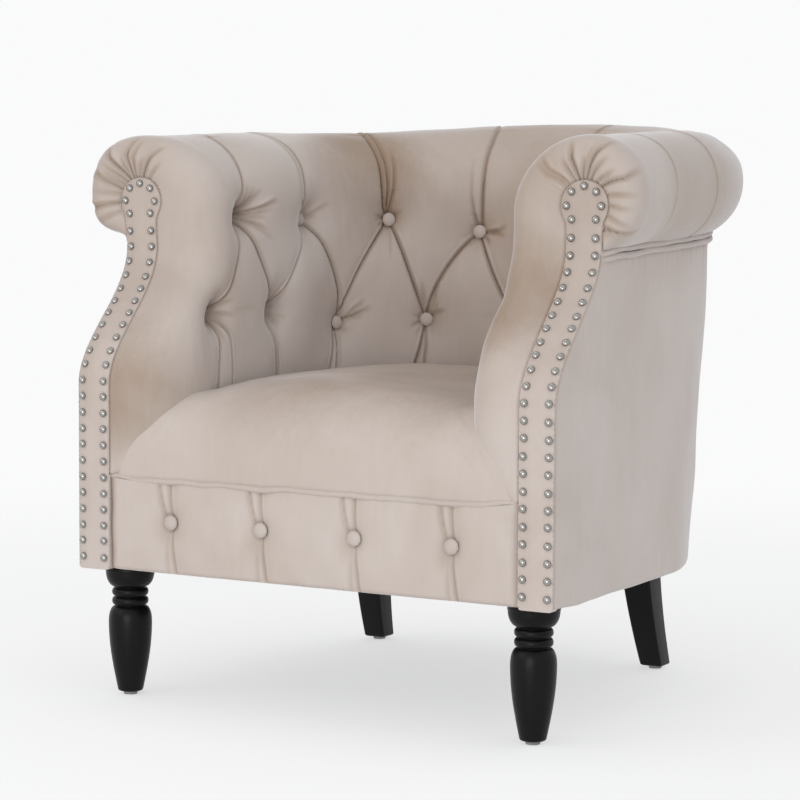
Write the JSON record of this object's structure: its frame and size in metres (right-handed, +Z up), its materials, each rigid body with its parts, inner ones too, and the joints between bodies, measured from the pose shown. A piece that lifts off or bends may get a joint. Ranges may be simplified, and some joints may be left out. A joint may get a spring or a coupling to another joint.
{
  "type": "club chair",
  "caption": "Tub club chair with rolled arms and back, deep buttoned inside, tight crowned seat, nail-trimmed swept arm fronts, turned front legs and sabre rear legs",
  "frame": {"origin": "on the floor, under the middle of the chair's width and depth", "axes": "+Z up, the seat faces -Y, +X is to the right of someone who looks at the chair's front"},
  "size_m": [0.744, 0.738, 0.7208],
  "materials": {
    "velvet": "short pile velvet, blush beige",
    "velvet_trim": "velvet over cord and button shells",
    "black_wood": "satin black lacquer",
    "nickel": "polished nickel",
    "steel": "zinc plated",
    "timber": "planed softwood",
    "plywood": "raw plywood",
    "jute": "woven jute",
    "foam": "cut upholstery foam",
    "cardboard": "grey cardboard",
    "dust_cloth": "black non-woven cloth",
    "glide_plastic": "grey nylon"
  },
  "bodies": {
    "root": {"front_rail": "timber", "left_base_rail": "plywood", "right_base_rail": "plywood", "back_base_rail": "plywood", "rear_seat_rail": "timber", "corner_blocks": "timber", "left_arm_post": "timber", "right_arm_post": "timber", "left_arm_stud": "timber", "right_arm_stud": "timber", "back_studs": "timber", "left_top_rail": "plywood", "right_top_rail": "plywood", "back_top_rail": "plywood", "seat_springs": "steel", "spring_clips": "steel", "spring_ties": "jute", "deck_cloth": "dust_cloth", "seat_foam": "foam", "seat_cushion": "velvet", "seat_welt": "velvet_trim", "left_arm_liner": "jute", "right_arm_liner": "jute", "back_liner": "jute", "left_arm_pad": "velvet", "right_arm_pad": "velvet", "back_pad": "velvet", "upper_buttons": "velvet_trim", "lower_buttons": "velvet_trim", "left_side_board": "cardboard", "right_side_board": "cardboard", "back_board": "cardboard", "left_side_cover": "velvet", "right_side_cover": "velvet", "back_cover": "velvet", "double_welt": "velvet_trim", "left_strip_board": "plywood", "right_strip_board": "plywood", "left_strip": "velvet", "right_strip": "velvet", "left_nails": "nickel", "right_nails": "nickel", "apron": "velvet", "apron_buttons": "velvet_trim", "left_front_leg": "black_wood", "right_front_leg": "black_wood", "left_rear_leg": "black_wood", "right_rear_leg": "black_wood", "glides": "glide_plastic", "leg_bolts": "steel", "tee_nuts": "steel", "dust_cover": "dust_cloth", "cover_staples": "steel"}
  },
  "joints": []
}
